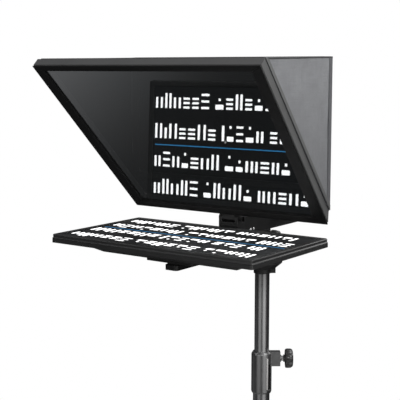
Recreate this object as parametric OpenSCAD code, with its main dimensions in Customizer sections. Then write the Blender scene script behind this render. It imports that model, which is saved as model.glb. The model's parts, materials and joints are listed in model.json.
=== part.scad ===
// Free-standing teleprompter: flat monitor, sloped beam-splitter glass and
// folding hood on a tilt and pan head, on a telescoping column with three legs.
// Row frame: origin on the floor at the middle of the footprint, +Z up, the
// presenter stands on the -Y side.

/* [Stand] */
// Height of the monitor's top face above the floor
monitor_top = 1150; // [1120:10:1220]
// Distance from the monitor's rear edge back to the column's axis
col_back = 148; // [140:1:160]
// Outside radius of the upper tube
upper_r = 17.5; // [16:0.1:17.5]
// Distance from the column's axis to the middle of each foot
leg_reach = 520; // [480:10:560]
// Radius of a leg tube
leg_r = 11; // [10:0.5:11]

/* [Monitor] */
// Width of the monitor
mon_w = 510; // [504:1:520]
// Depth of the monitor, front to back
mon_d = 296; // [290:1:300]
// Thickness at the monitor's edge
mon_t = 18.4; // [18:0.1:20]

/* [Glass and hood] */
// Slope of the beam splitter above horizontal
glass_angle = 46.5; // [45:0.5:48]
// Length of the glass frame along the slope
frame_len = 449.5; // [440:0.5:455]
// Half width of the glass frame at its bottom edge
half_bottom = 254.6; // [250:0.2:256]
// Half width of the glass frame at its top edge
half_top = 281; // [270:1:285]
// Thickness of the glass frame
frame_t = 22.4; // [20:0.1:27]
// Thickness of the glass plate
glass_t = 3; // [3:0.5:3]

/* [Hidden] */
$fn = 64;
lower_r = upper_r + 2.5;        // outside radius of the lower tube
foot_r = 17;
row_y = leg_reach / 4;          // the column's place, so the footprint is centred
collar_top = monitor_top - 320;
collar_h = 101;
lug_turn = 35.6;                // direction of the collar's clamp lug
lug_z = collar_top - 18;        // height of its stud
tube_end = 430;                 // lower end of the upper tube
leg_top = 150;                  // height of the lowest leg joint
leg_step = 30.5;                // spacing of the stacked leg joints
g_y = -6.5;                     // bottom front edge of the glass frame
g_z = 29.1;
rear_y = -4;                    // rear plane of the hood
hood_z = 370.4;                 // top of the hood at the glass frame
hood_rear = 375;                // and at its rear
hood_in = 258;                  // half width of the hood at its rear
hinge_y = 12;                   // axis the glass frame folds about
hinge_z = 20;
fold_y = -14;                   // axis the rear frame folds about
fold_z = 86;
tilt_z = -82;                   // tilt axis, at the column
ca = cos(glass_angle);
sa = sin(glass_angle);
fan = atan((half_top - hood_in) / 293.5);

// --- placing ---

module stand() translate([0, row_y, 0]) children();
// Origin at the middle of the monitor's top rear edge
module head() translate([0, row_y - col_back, monitor_top]) children();
// On the glass frame's front face: x across, y up the slope, z into the frame
module slope() head() translate([0, g_y, g_z])
  rotate([180 - glass_angle, 0, 0]) mirror([0, 0, 1]) children();
// Cylinder along X, centred at x
module xcyl(x0, x1, y, z, r)
  translate([x0, y, z]) rotate([0, 90, 0]) cylinder(r = r, h = x1 - x0);
module box(x0, x1, y0, y1, z0, z1)
  translate([x0, y0, z0]) cube([x1 - x0, y1 - y0, z1 - z0]);
module both() { children(); mirror([1, 0, 0]) children(); }
// Plate in the YZ plane from x0 to x1
module yz(x0, x1) translate([x0, 0, 0]) rotate([90, 0, 90])
  linear_extrude(height = x1 - x0) children();
module rounded(w, d, r) {
  square([w - 2 * r, d], center = true);
  square([w, d - 2 * r], center = true);
  for (x = [-1, 1], y = [-1, 1])
    translate([x * (w / 2 - r), y * (d / 2 - r)]) circle(r = r);
}
// Grip of a clamp knob along +Z: a disc with finger scallops
module grip(r, h, n) difference() {
  cylinder(r = r, h = h);
  for (i = [0 : n - 1]) rotate([0, 0, i * 360 / n])
    translate([r + r * 0.16, 0, -1]) cylinder(r = r * 0.28, h = h + 2);
}

// --- stand ---

module lower_tube() color("#3a3b3d") stand() translate([0, 0, 128])
  difference() {
    cylinder(r = lower_r, h = collar_top - 16 - 128);
    translate([0, 0, -1]) cylinder(r = lower_r - 1.5, h = collar_top);
  }

// Line of a leg from its joint at height z to its foot, as rotation and length
function leg_slope(z) = atan((z - 20) / (leg_reach - 24));
function leg_len(z) = (leg_reach - 24) / cos(leg_slope(z));
module leg_line(z) translate([0, -24, z]) rotate([90 + leg_slope(z), 0, 0])
  children();

module leg_tube(z) difference() {
  leg_line(z) translate([0, 0, 3]) cylinder(r = leg_r, h = leg_len(z) - 3);
  leg_line(z) translate([0, 0, 6]) cylinder(r = leg_r - 2, h = leg_len(z) - 8);
}
module leg_sleeve(z, bore) difference() {
  union() {
    translate([0, 0, z - 14]) cylinder(r = lower_r + 8, h = 28);
    leg_line(z) cylinder(r = leg_r + 2.5, h = 40);
  }
  translate([0, 0, z - 40]) cylinder(r = bore, h = 80);
  leg_line(z) translate([0, 0, 2.9]) cylinder(r = leg_r + 0.02, h = 60);
  translate([0, 0, z + 14]) cylinder(r = lower_r + 40, h = 20);
}
module foot(z) difference() {
  union() {
    translate([0, -leg_reach, 0]) cylinder(r = foot_r, h = 8);
    translate([0, -leg_reach, 8]) cylinder(r = foot_r - 1.5, h = 30);
  }
  leg_line(z) translate([0, 0, 3]) cylinder(r = leg_r + 0.02, h = leg_len(z) - 3);
}
module leg_hub() color("#2b2c2e") stand() leg_sleeve(leg_top, lower_r + 0.02);
module front_leg() color("#3a3b3d") stand() leg_tube(leg_top);
module front_foot() color("#1c1c1c") stand() foot(leg_top);
module left_leg() color("#3a3b3d") stand() rotate([0, 0, -120]) {
  leg_tube(leg_top + leg_step);
  leg_sleeve(leg_top + leg_step, lower_r + 0.06);
}
module left_foot() color("#1c1c1c") stand() rotate([0, 0, -120])
  foot(leg_top + leg_step);
module right_leg() color("#3a3b3d") stand() rotate([0, 0, 120]) {
  leg_tube(leg_top + 2 * leg_step);
  leg_sleeve(leg_top + 2 * leg_step, lower_r + 0.06);
}
module right_foot() color("#1c1c1c") stand() rotate([0, 0, 120])
  foot(leg_top + 2 * leg_step);

lock_z = leg_top + 2 * leg_step + 15;
module leg_lock_ring() color("#2b2c2e") stand() difference() {
  union() {
    translate([0, 0, lock_z]) cylinder(r = lower_r + 8, h = 28);
    translate([0, 0, lock_z + 14]) rotate([-90, 0, 0]) cylinder(r = 10, h = 42);
  }
  translate([0, 0, lock_z - 1]) cylinder(r = lower_r + 0.02, h = 30);
  translate([0, 0, lock_z + 14]) rotate([-90, 0, 0]) cylinder(r = 4.05, h = 50);
}
module leg_knob() color("#1e1e1f") stand() translate([0, 0, lock_z + 14])
  rotate([-90, 0, 0]) {
    translate([0, 0, lower_r + 0.4]) cylinder(r = 4, h = 30);
    translate([0, 0, 42.4]) cylinder(r = 8, h = 5);
    translate([0, 0, 46]) grip(20, 16, 6);
  }

// --- collar ---

module collar() color("#4a4c4f") stand() difference() {
  union() {
    translate([0, 0, collar_top - collar_h]) rotate_extrude()
      polygon([[10, 0], [22.9, 0], [24.4, 4], [24.4, 95], [21, collar_h],
        [10, collar_h]]);
    rotate([0, 0, lug_turn]) box(15, 44.5, -10, 10, collar_top - 35,
      collar_top - 1);
  }
  translate([0, 0, collar_top - collar_h - 1])
    cylinder(r = lower_r + 1.02, h = collar_h - 4.9);
  translate([0, 0, collar_top - 10]) cylinder(r = upper_r + 0.3, h = 20);
  // clamp opening beside the lug, and the slot for the liner's rib
  rotate([0, 0, lug_turn - 44.5]) box(10, 30, -6.4, 6.4, collar_top - 92,
    collar_top - 29);
  rotate([0, 0, lug_turn - 58.5]) box(10, 30, -1.7, 1.7, collar_top - 92,
    collar_top - 12);
  rotate([0, 0, lug_turn]) xcyl(10, 50, 0, lug_z, 5.05);
}
module collar_bush() color("#e8e4d8") stand() {
  difference() {
    rotate_extrude() {
      translate([upper_r + 0.06, collar_top - 76]) square([0.92, 70]);
      translate([upper_r + 0.06, collar_top - 15.9]) square([3.4, 9.9]);
      translate([lower_r + 0.06, collar_top - collar_h + 1])
        square([0.92, 94]);
    }
    rotate([0, 0, lug_turn - 41]) box(lower_r, 30, -4.6, 4.6,
      collar_top - 91, collar_top - 30);
  }
  rotate([0, 0, lug_turn - 58.5]) box(lower_r + 0.3, lower_r + 3.9, -1.5, 1.5,
    collar_top - 91, collar_top - 13);
}
module collar_stud() color("#c8cacc") stand() rotate([0, 0, lug_turn]) {
  xcyl(lower_r + 1.4, 66, 0, lug_z, 5);
  xcyl(44.7, 47, 0, lug_z, 8.6);
  xcyl(46.9, 51.8, 0, lug_z, 6.3);
}
module collar_knob() color("#2a2b2d") stand() rotate([0, 0, lug_turn])
  translate([52, 0, lug_z]) rotate([0, 90, 0]) difference() {
    union() {
      cylinder(r = 8.8, h = 5);
      translate([0, 0, 4.6]) grip(24.3, 15.4, 6);
      translate([0, 0, 19.9]) cylinder(r = 19, h = 3.3);
    }
    translate([0, 0, -1]) cylinder(r = 5.02, h = 16);
  }

module upper_tube() color("#3a3b3d") stand() translate([0, 0, tube_end])
  difference() {
    cylinder(r = upper_r, h = monitor_top - 104.1 - tube_end);
    translate([0, 0, -1]) cylinder(r = upper_r - 2, h = 800);
  }
module guide_bush() color("#e8e4d8") stand() translate([0, 0, tube_end]) {
  translate([0, 0, -8]) cylinder(r = lower_r - 1.57, h = 7.9);
  translate([0, 0, -0.2]) cylinder(r = upper_r - 2.02, h = 25);
}

// --- pan and tilt head ---

module head_base() color("#2b2c2e") head() translate([0, col_back, 0]) {
  difference() {
    union() {
      rotate_extrude() polygon([[0, -129], [20.4, -129], [20.4, -119],
        [31, -116.5], [47, -103], [47, -100.2], [8, -100.2], [8, -94],
        [0, -94]]);
      rotate([0, 0, lug_turn]) box(15, 31, -8, 8, -128.5, -112);
    }
    translate([0, 0, -140]) cylinder(r = upper_r + 0.02, h = 36);
    translate([0, 0, -113]) rotate([0, -90, 0]) translate([0, 0, 10])
      cylinder(r = 4.05, h = 50);
  }
}
module pan_clevis() color("#2b2c2e") head() translate([0, col_back, 0])
  difference() {
    union() {
      translate([0, 0, -99.9]) cylinder(r = 46, h = 6.9);
      both() {
        box(10.3, 19.4, -11, 11, -93.1, tilt_z);
        xcyl(10.3, 19.4, 0, tilt_z, 11);
      }
    }
    translate([0, 0, -101]) cylinder(r = 8.05, h = 20);
    xcyl(-30, 30, 0, tilt_z, 5.02);
  }
module pan_knob() color("#1e1e1f") head() translate([0, col_back, -113])
  rotate([0, -90, 0]) {
    translate([0, 0, upper_r + 0.6]) cylinder(r = 4, h = 34);
    translate([0, 0, 46]) cylinder(r = 8, h = 5);
    translate([0, 0, 50]) grip(12.5, 14, 6);
  }
module tilt_bracket() color("#2b2c2e") head() translate([0, col_back, 0])
  difference() {
    union() {
      box(-23, 23, -30, 30, -69.2, -63.6);
      box(-10, 10, -10, 10, tilt_z, -69.1);
      xcyl(-10, 10, 0, tilt_z, 10);
    }
    xcyl(-30, 30, 0, tilt_z, 5.06);
  }
module tilt_bolt() color("#c8cacc") head() translate([0, col_back, tilt_z]) {
  xcyl(-24, 36, 0, 0, 5);
  translate([-26, 0, 0]) rotate([0, 90, 0]) cylinder(r = 9, h = 6.4, $fn = 6);
}
module tilt_knob() color("#1e1e1f") head() translate([19.8, col_back, tilt_z])
  rotate([0, 90, 0]) difference() {
    union() {
      cylinder(r = 9, h = 5);
      translate([0, 0, 4]) grip(10.4, 22, 6);
    }
    translate([0, 0, -1]) cylinder(r = 5.06, h = 18);
  }

// --- arm, riser and camera beam ---

module lower_arm() color("#202122") head()
  translate([0, 0, -63.5]) linear_extrude(height = 10.8) difference() {
    union() {
      translate([-16.5, -203]) square([33, 393]);
      translate([-8.5, -211]) square([17, 10]);
      for (x = [-8.5, 8.5]) translate([x, -203]) circle(r = 8);
    }
    for (y = [-170, -120, 50, 110]) translate([0, y]) circle(r = 3.2);
  }
module vesa_plate() color("#202122") head() difference() {
  union() {
    translate([0, -148, -47]) linear_extrude(height = 5.8) rounded(120, 138, 6);
    box(-12.5, 12.5, -205, -90, -52.6, -46.9);
  }
  for (x = [-50, 50], y = [-198, -98])
    translate([x, y, -50]) cylinder(r = 2.2, h = 20);
}
module vesa_screws() color("#8b8d90") head()
  for (x = [-50, 50], y = [-198, -98]) translate([x, y, 0]) {
    translate([0, 0, -50]) cylinder(r = 4, h = 2.9);
    translate([0, 0, -48]) cylinder(r = 2, h = 13);
  }
module riser() color("#202122") head() difference() {
  box(-25.5, 25.5, 3, 143, -52.6, -20.1);
  box(-21, 21, 8, 138, -48, -24);
  xcyl(20, 30, 128, -34, 4.05);
}
module riser_knob() color("#1e1e1f") head() translate([0, 128, -34]) {
  xcyl(16, 40, 0, 0, 4);
  translate([34, 0, 0]) rotate([0, 90, 0]) cylinder(r = 8, h = 6);
  translate([38, 0, 0]) rotate([0, 90, 0]) grip(15, 19, 6);
}
module camera_beam() color("#202122") head() difference() {
  box(-25.5, 25.5, 30.5, 300, -20, 21);
  box(-22.5, 22.5, 33.5, 301, -17, 18);
  box(-6.3, 6.3, 60, 301, 10, 22);
  both() for (y = [56, 68]) xcyl(20, 30, y, -10, 1.62);
}
module beam_screws() color("#d4d6d8") head() both() for (y = [56, 68]) {
  xcyl(22.6, 26, y, -10, 1.6);
  xcyl(25.55, 27.2, y, -10, 3.2);
}
module hood_bracket() color("#202122") head() difference() {
  union() {
    box(-25.5, 25.5, 3, 30.4, -20, 10.4);
    both() yz(17, 25.5) {
      translate([3, 10]) square([18, hinge_z - 10]);
      translate([hinge_y, hinge_z]) circle(r = 9);
    }
  }
  xcyl(-30, 30, hinge_y, hinge_z, 4.02);
}
module hinge_pin() color("#c8cacc") head() {
  xcyl(-27, 27, hinge_y, hinge_z, 4);
  both() xcyl(25.6, 28, hinge_y, hinge_z, 6.5);
}

module camera_carriage() color("#202122") head() difference() {
  union() {
    box(-36, 36, 165, 225, 21.4, 27);
    both() {
      box(25.9, 31.8, 165, 225, 2, 22);
      box(30, 36, 170, 220, 26.9, 60);
    }
    box(-5.9, 5.9, 170, 220, 12, 22);
    box(-12, 12, 170, 220, 12, 17.4);
  }
  xcyl(20, 40, 195, 11, 4.05);
}
module camera_platform() color("#202122") head() difference() {
  translate([0, 195, 60.1]) linear_extrude(height = 7.9) rounded(90, 110, 6);
  for (y = [170, 220]) translate([0, y, 50]) cylinder(r = 3.25, h = 30);
  box(-3.25, 3.25, 170, 220, 50, 80);
}
module platform_pads() color("#141414") head() both()
  translate([24, 195, 68.1]) linear_extrude(height = 2) rounded(30, 96, 4);
module carriage_knob() color("#1e1e1f") head() translate([0, 195, 11]) {
  xcyl(26, 37, 0, 0, 4);
  translate([32.4, 0, 0]) rotate([0, 90, 0]) cylinder(r = 8, h = 4);
  translate([36.4, 0, 0]) rotate([0, 90, 0]) grip(13, 15, 6);
}
module camera_screw() color("#c8cacc") head() translate([0, 195, 0]) {
  translate([0, 0, 54]) cylinder(r = 2.6, h = 16.2);
  translate([0, 0, 70.1]) cylinder(r = 3.175, h = 4.9);
  translate([0, 0, 50]) cylinder(r = 8, h = 9.8);
  translate([0, 0, 44]) grip(13, 8, 12);
}

// --- monitor ---

// Raised middle of the rear cover, moved in from its outside by inset
module bulge(inset) intersection() {
  rotate([90, 0, 0]) linear_extrude(height = mon_d) polygon([
    [-216 + inset, -15], [216 - inset, -15], [216 - inset, -mon_t],
    [172 - inset, -41 + inset], [-172 + inset, -41 + inset],
    [-216 + inset, -mon_t]]);
  yz(-240, 240) polygon([[-262 + inset, -15], [-34 - inset, -15],
    [-34 - inset, -mon_t], [-74 - inset, -41 + inset],
    [-222 + inset, -41 + inset], [-262 + inset, -mon_t]]);
}
module slab(w, d, r, z0, z1) translate([0, -mon_d / 2, z0])
  linear_extrude(height = z1 - z0) rounded(w, d, r);

button_x = [150, 165, 180, 195];
module monitor_cover() color("#1a1b1c") head() difference() {
  union() {
    difference() {
      union() {
        slab(mon_w, mon_d, 5, -mon_t, -9.9);
        bulge(0);
      }
      slab(mon_w - 5, mon_d - 5, 3, 2.5 - mon_t, 0);
      bulge(2.5);
    }
    for (x = [-50, 50], y = [-198, -98])
      translate([x, y, -41]) cylinder(r = 5, h = 7);
    for (x = [-238, 238], y = [-276, -148, -20])
      translate([x, y, -mon_t]) cylinder(r = 4, h = 5);
  }
  for (x = [-50, 50], y = [-198, -98])
    translate([x, y, -42]) cylinder(r = 2.02, h = 10);
  for (x = [-238, 238], y = [-276, -148, -20])
    translate([x, y, -20]) cylinder(r = 1.52, h = 10);
  for (x = button_x) translate([x, -279, -20]) cylinder(r = 4.1, h = 8);
  translate([215, -279, -20]) cylinder(r = 5.1, h = 8);
  box(74.9, 155.1, -66.1, -20, -45, -mon_t);
  // cooling slots
  for (i = [0 : 11]) box(-150 + i * 7, -147 + i * 7, -60, -30, -45, -10);
}
module monitor_bezel() color("#141517") head() difference() {
  slab(mon_w, mon_d, 5, -9.8, 0);
  slab(mon_w - 5, mon_d - 5, 3, -11, -2);
  slab(477, 268, 0.5, -3, 1);
}
module lcd_panel() color("#0c0c0e") head() slab(486, 276, 1, -5, -2.1);
module backlight() color("#b9bcc0") head() slab(486, 276, 1, -13, -5.1);
module main_board() color("#1f5c3a") head() {
  box(-60, 45, -190, -106, -26, -24.4);
  for (x = [-56, 41], y = [-186, -110])
    translate([x, y, -24.5]) cylinder(r = 2.5, h = 11.4);
  box(-30, -4, -165, -139, -29, -25.9);
  box(10, 26, -175, -160, -28, -25.9);
  box(8, 36, -132, -120, -30, -25.9);
}
module power_board() color("#8a7434") head() {
  box(-150, -80, -190, -106, -26, -24.4);
  for (x = [-146, -84], y = [-186, -110])
    translate([x, y, -24.5]) cylinder(r = 2.5, h = 11.4);
  for (y = [-170, -148, -126]) translate([-132, y, -34])
    cylinder(r = 6, h = 8.1);
  box(-112, -90, -165, -130, -33, -25.9);
}
module cover_screws() color("#8b8d90") head()
  for (x = [-238, 238], y = [-276, -148, -20]) translate([x, y, 0]) {
    translate([0, 0, -19.6]) cylinder(r = 3, h = 1.1);
    translate([0, 0, -19]) cylinder(r = 1.5, h = 5.4);
  }
module port_block() color("#26282a") head() difference() {
  intersection() {
    bulge(0.02);
    box(75, 155, -66, -20, -40.9, -mon_t - 0.1);
  }
  box(78, 152, -62, -20, -45, -21.4);
  translate([88, -60, -28]) rotate([90, 0, 0]) cylinder(r = 3.2, h = 10);
  for (x = [103, 124]) box(x, x + 15, -70, -60, -31, -25.5);
  translate([146.5, -60, -28]) rotate([90, 0, 0]) cylinder(r = 2, h = 10);
}
module button(x, r) head() translate([x, -279, 0]) {
  translate([0, 0, -19.9]) cylinder(r = r, h = 4.2);
  translate([0, 0, -15.8]) cylinder(r = r + 1.5, h = 1);
}
module power_button() color("#55585b") button(215, 5);
module button_1() color("#55585b") button(button_x[0], 4);
module button_2() color("#55585b") button(button_x[1], 4);
module button_3() color("#55585b") button(button_x[2], 4);
module button_4() color("#55585b") button(button_x[3], 4);

// --- glass frame ---

// Half widths at a distance s up the slope: of the frame and of its window
function outer_x(s) = half_bottom + (half_top - half_bottom) * s / frame_len;
win_s = [20.2, frame_len - 13.65];
win_x = [half_bottom - 26.8, half_top - 23.2];
module outline(inset) polygon([
  [-outer_x(0) + inset, inset], [outer_x(0) - inset, inset],
  [outer_x(frame_len) - inset, frame_len - inset],
  [-outer_x(frame_len) + inset, frame_len - inset]]);
module window(grow) polygon([
  [-win_x[0] - grow, win_s[0] - grow], [win_x[0] + grow, win_s[0] - grow],
  [win_x[1] + grow, win_s[1] + grow], [-win_x[1] - grow, win_s[1] + grow]]);
// Cuts that part a ring into four mitred rails
module mitres() both() {
  for (e = [[outer_x(0), 0, win_x[0], win_s[0]],
            [outer_x(frame_len), frame_len, win_x[1], win_s[1]]])
    translate([e[0], e[1]])
      rotate([0, 0, atan2(e[3] - e[1], e[2] - e[0])])
      translate([-20, -0.15]) square([80, 0.3]);
}
// Everything in front of the hood's rear plane
module ahead() head() box(-400, 400, -400, rear_y, -10, 500);
module layer(t0, t1) slope() translate([0, 0, t0])
  linear_extrude(height = t1 - t0) children();

module frame_bezel() color("#101112") intersection() {
  ahead();
  layer(0, 3.2) difference() { outline(0); window(0); mitres(); }
}
module frame_rails() color("#3c3d3f") intersection() {
  ahead();
  difference() {
    union() {
      layer(3.3, 5.2) difference() { outline(1.6); window(6.3); mitres(); }
      layer(5.2, 7.5) difference() { outline(0); window(6.3); mitres(); }
      layer(7.5, frame_t) difference() { outline(0); window(0); mitres(); }
    }
    // hollow of the extrusions
    layer(10.5, frame_t - 2) difference() {
      outline(2.5);
      window(2.5);
      both() translate([0, -1]) square([600, 24 + 25]);
      both() translate([0, frame_len - 24]) square([600, 30]);
    }
  }
}
module beam_splitter() color("#6a7076") layer(4.4, 4.4 + glass_t) window(5.9);
module glass_gasket() color("#0e0e0e") layer(3.25, 4.35) difference() {
  window(5.9);
  window(0.6);
}
s_fold = -(fold_y - g_y) * ca + (fold_z - g_z) * sa;
t_fold = (fold_y - g_y) * sa + (fold_z - g_z) * ca;
module hinge_lugs() color("#202122") {
  head() difference() {
    yz(-16.7, 16.7) {
      translate([hinge_y, hinge_z]) circle(r = 9);
      polygon([[rear_y + 0.1, 34], [rear_y + 0.1, 62], [4, 62], [21, 36],
        [21, hinge_z], [3, hinge_z], [3, 32]]);
    }
    xcyl(-30, 30, hinge_y, hinge_z, 4.06);
  }
  slope() both() difference() {
    union() {
      box(231, 238.9, s_fold - 7, s_fold + 7, frame_t + 0.1, t_fold);
      xcyl(231, 238.9, s_fold, t_fold, 7);
    }
    xcyl(220, 250, s_fold, t_fold, 4.06);
  }
}
// Side panel's plane: x out from the panel's inner face, y and z as in head()
module side_plane() both() translate([hood_in, rear_y, 0])
  rotate([0, 0, fan]) translate([0, -rear_y, 0]) children();
// Height of the rails' rear face at a depth y, and depth at a height z
function rear_z(y, t) = g_z + sa * ((g_y + sa * t - y) / ca) + ca * t;
function back_y(z, t) = g_y + sa * t - ca * ((z - g_z - ca * t) / sa);
module hood_sides() color("#85878a") head() side_plane() yz(-3, 0) polygon([
  [rear_y, rear_z(rear_y, frame_t + 0.4)], [rear_y, hood_rear],
  [back_y(hood_z, frame_t + 0.4) / cos(fan), hood_z]]);
// On the hood's top, which rises to the rear: y = 0 its rear edge
module lid() head() translate([0, rear_y, hood_rear])
  rotate([atan((hood_rear - hood_z) / 292), 0, 0]) children();
module hood_top() color("#85878a") lid() translate([0, 0, -3])
  linear_extrude(height = 3) polygon([
    [3.4 - hood_in, 0], [hood_in - 3.4, 0],
    [half_top - 4, -290], [4 - half_top, -290]]);
module edge_strips() color("#303133") {
  head() side_plane() yz(0.1, 1.3) polygon([
    [rear_y, rear_z(rear_y, frame_t + 0.4)],
    [rear_y, rear_z(rear_y, frame_t + 8.4)],
    [back_y(hood_z, frame_t + 8.4), hood_z],
    [back_y(hood_z, frame_t + 0.4) / cos(fan), hood_z]]);
  lid() translate([0, 0, 0.1]) linear_extrude(height = 1.2)
    polygon([[5 - half_top, -290], [half_top - 5, -290],
      [half_top - 6, -282], [6 - half_top, -282]]);
}
module rear_flap() color("#17181a") head()
  box(-251, 251, -6, -4.5, rear_z(-6, frame_t) + 0.4, 118);

// --- rear frame of the hood, with its curtain ---

module rear_frame() color("#202122") head() {
  both() {
    box(239.5, 253.5, fold_y - 6, fold_y + 6, fold_z - 4, 371.4);
    xcyl(230.8, 240, fold_y, fold_z, 4);
  }
  box(-239.4, 239.4, fold_y - 6, fold_y + 6, 357.4, 371.4);
  box(-239.4, 239.4, fold_y - 6, fold_y + 6, 100, 112);
}
module rear_curtain() color("#17181a") head()
  box(-239.2, 239.2, fold_y - 1, fold_y + 1, 112.2, 357.2);

lower_tube();
leg_hub();
front_leg();
front_foot();
left_leg();
left_foot();
right_leg();
right_foot();
leg_lock_ring();
leg_knob();
collar();
collar_bush();
collar_stud();
collar_knob();
upper_tube();
guide_bush();
head_base();
pan_clevis();
pan_knob();
tilt_bracket();
tilt_bolt();
tilt_knob();
lower_arm();
vesa_plate();
vesa_screws();
riser();
riser_knob();
camera_beam();
beam_screws();
hood_bracket();
hinge_pin();
camera_carriage();
camera_platform();
platform_pads();
carriage_knob();
camera_screw();
monitor_cover();
monitor_bezel();
lcd_panel();
backlight();
main_board();
power_board();
cover_screws();
port_block();
power_button();
button_1();
button_2();
button_3();
button_4();
frame_rails();
frame_bezel();
beam_splitter();
glass_gasket();
hinge_lugs();
edge_strips();
hood_top();
hood_sides();
rear_flap();
rear_frame();
rear_curtain();
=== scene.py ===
import json
import random
from math import cos, exp, pi, radians, sin

import bmesh
import bpy
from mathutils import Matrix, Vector

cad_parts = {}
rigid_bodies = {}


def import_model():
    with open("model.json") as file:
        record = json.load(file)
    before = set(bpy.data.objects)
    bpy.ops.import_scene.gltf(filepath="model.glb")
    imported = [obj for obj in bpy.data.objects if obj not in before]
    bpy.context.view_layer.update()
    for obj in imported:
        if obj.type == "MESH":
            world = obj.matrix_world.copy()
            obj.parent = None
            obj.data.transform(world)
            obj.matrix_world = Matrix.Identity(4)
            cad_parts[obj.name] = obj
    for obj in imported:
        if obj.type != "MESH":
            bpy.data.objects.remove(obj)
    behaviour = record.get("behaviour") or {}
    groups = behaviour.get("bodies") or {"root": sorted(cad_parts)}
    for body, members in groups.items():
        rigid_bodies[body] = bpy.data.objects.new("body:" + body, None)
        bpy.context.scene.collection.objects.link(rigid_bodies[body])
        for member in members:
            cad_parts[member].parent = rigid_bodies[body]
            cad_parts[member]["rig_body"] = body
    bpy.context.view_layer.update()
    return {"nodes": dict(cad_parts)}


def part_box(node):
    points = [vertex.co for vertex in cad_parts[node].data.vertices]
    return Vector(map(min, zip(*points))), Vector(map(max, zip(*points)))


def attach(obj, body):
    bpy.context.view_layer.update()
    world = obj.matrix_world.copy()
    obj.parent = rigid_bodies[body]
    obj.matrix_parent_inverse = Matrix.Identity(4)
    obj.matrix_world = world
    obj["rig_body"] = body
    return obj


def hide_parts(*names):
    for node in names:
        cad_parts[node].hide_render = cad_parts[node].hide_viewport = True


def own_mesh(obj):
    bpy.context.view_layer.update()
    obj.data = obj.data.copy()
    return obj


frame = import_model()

scene = bpy.context.scene
nodes = frame["nodes"]
scene.view_settings.view_transform = "Standard"

# ---------------------------------------------------------------- places
# Head frame: millimetres, z = 0 the monitor's top face, y = 0 its rear edge.
MONITOR_SIZE = (510, 296)
REAR_EDGE, TOP_FACE = 0.018, 1.150  # where that edge and that face are in the frame, metres
TILT = radians(46.5)  # slope of the glass frame
SLOPE_Y, SLOPE_Z = -6.5, 29.1  # foot of the slope
AXIS_Y = 0.130  # the column's axis, metres


def at(x, y, z):
    return Vector((x / 1000, y / 1000 - REAR_EDGE, z / 1000 + TOP_FACE))


def on_slope(x, s, t):
    """x across, s up the glass frame's slope, t into the frame."""
    return at(x, SLOPE_Y - s * cos(TILT) + t * sin(TILT), SLOPE_Z + s * sin(TILT) + t * cos(TILT))


# ---------------------------------------------------------------- camera
cam = bpy.data.cameras.new("camera")
cam.sensor_width, cam.lens = 36, 89.72
cam.clip_start, cam.clip_end = 0.05, 60
camera = bpy.data.objects.new("camera", cam)
camera.location = (1.2293, -1.8404, 1.5054)
camera.rotation_euler = (radians(90 - 7.640), 0, radians(35.6))
scene.collection.objects.link(camera)
scene.camera = camera


# ---------------------------------------------------------------- node helper
class Tree:
    """The nodes of a material or a world, with short forms for those used here."""

    def __init__(self, owner):
        owner.use_nodes = True
        self.owner = owner
        self.nodes = owner.node_tree.nodes
        self.links = owner.node_tree.links
        self.bsdf = self.nodes.get("Principled BSDF")

    def add(self, kind, **values):
        n = self.nodes.new("ShaderNode" + kind)
        for k, v in values.items():
            setattr(n, k, v)
        return n

    def put(self, socket, value):
        if isinstance(value, bpy.types.NodeSocket):
            self.links.new(value, socket)
        elif value is not None:
            socket.default_value = value

    def surface(self, **values):
        """Sets or links sockets of the surface, named with _ for a space."""
        for name, value in values.items():
            self.put(self.bsdf.inputs[name.replace("_", " ")], value)

    def maths(self, op, a, b=None, c=None, clamp=False):
        n = self.add("Math", operation=op, use_clamp=clamp)
        for i, v in enumerate((a, b, c)):
            self.put(n.inputs[i], v)
        return n.outputs[0]

    def stretched(self, vector, scale):
        m = self.add("Mapping")
        m.inputs["Scale"].default_value = scale
        self.put(m.inputs["Vector"], vector)
        return m.outputs[0]

    def coords(self, kind="Object", stretch=None):
        v = self.add("TexCoord").outputs[kind]
        return self.stretched(v, stretch) if stretch else v

    def height_of(self, vector):
        n = self.add("SeparateXYZ")
        self.put(n.inputs[0], vector)
        return n.outputs[2]

    def noise(self, vector, scale, detail=3, rough=0.55):
        n = self.add("TexNoise")
        self.put(n.inputs["Vector"], vector)
        self.put(n.inputs["Scale"], scale)
        self.put(n.inputs["Detail"], detail)
        self.put(n.inputs["Roughness"], rough)
        return n.outputs["Fac"]

    def span(self, value, a, b, c=0.0, d=1.0):
        """The value's range from a to b, mapped to c to d."""
        n = self.add("MapRange")
        n.clamp = True
        for i, v in enumerate((value, a, b, c, d)):
            self.put(n.inputs[i], v)
        return n.outputs[0]

    def mix(self, factor, a, b, how="MIX"):
        n = self.add("Mix", data_type="RGBA", blend_type=how)
        self.put(n.inputs[0], factor)
        self.put(n.inputs[6], a)
        self.put(n.inputs[7], b)
        return n.outputs[2]

    def bump(self, height, strength, distance, normal=None):
        n = self.add("Bump")
        n.inputs["Strength"].default_value = strength
        n.inputs["Distance"].default_value = distance
        self.put(n.inputs["Height"], height)
        self.put(n.inputs["Normal"], normal)
        return n.outputs[0]


def material(name):
    return Tree(bpy.data.materials.new(name))


def rgb(c, k=1.0):
    return tuple(min(1.0, x * k) for x in c[:3]) + (1.0,)


def grey(v, warm=0.0):
    """A grey from an 8-bit display value."""
    c = v / 255
    c = c / 12.92 if c <= 0.04045 else ((c + 0.055) / 1.055) ** 2.4
    return (c * (1 + warm), c, c * (1 - warm))


# ---------------------------------------------------------------- materials
MID_TONES = (0.3, 0.7)  # where most of a noise's values lie


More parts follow.
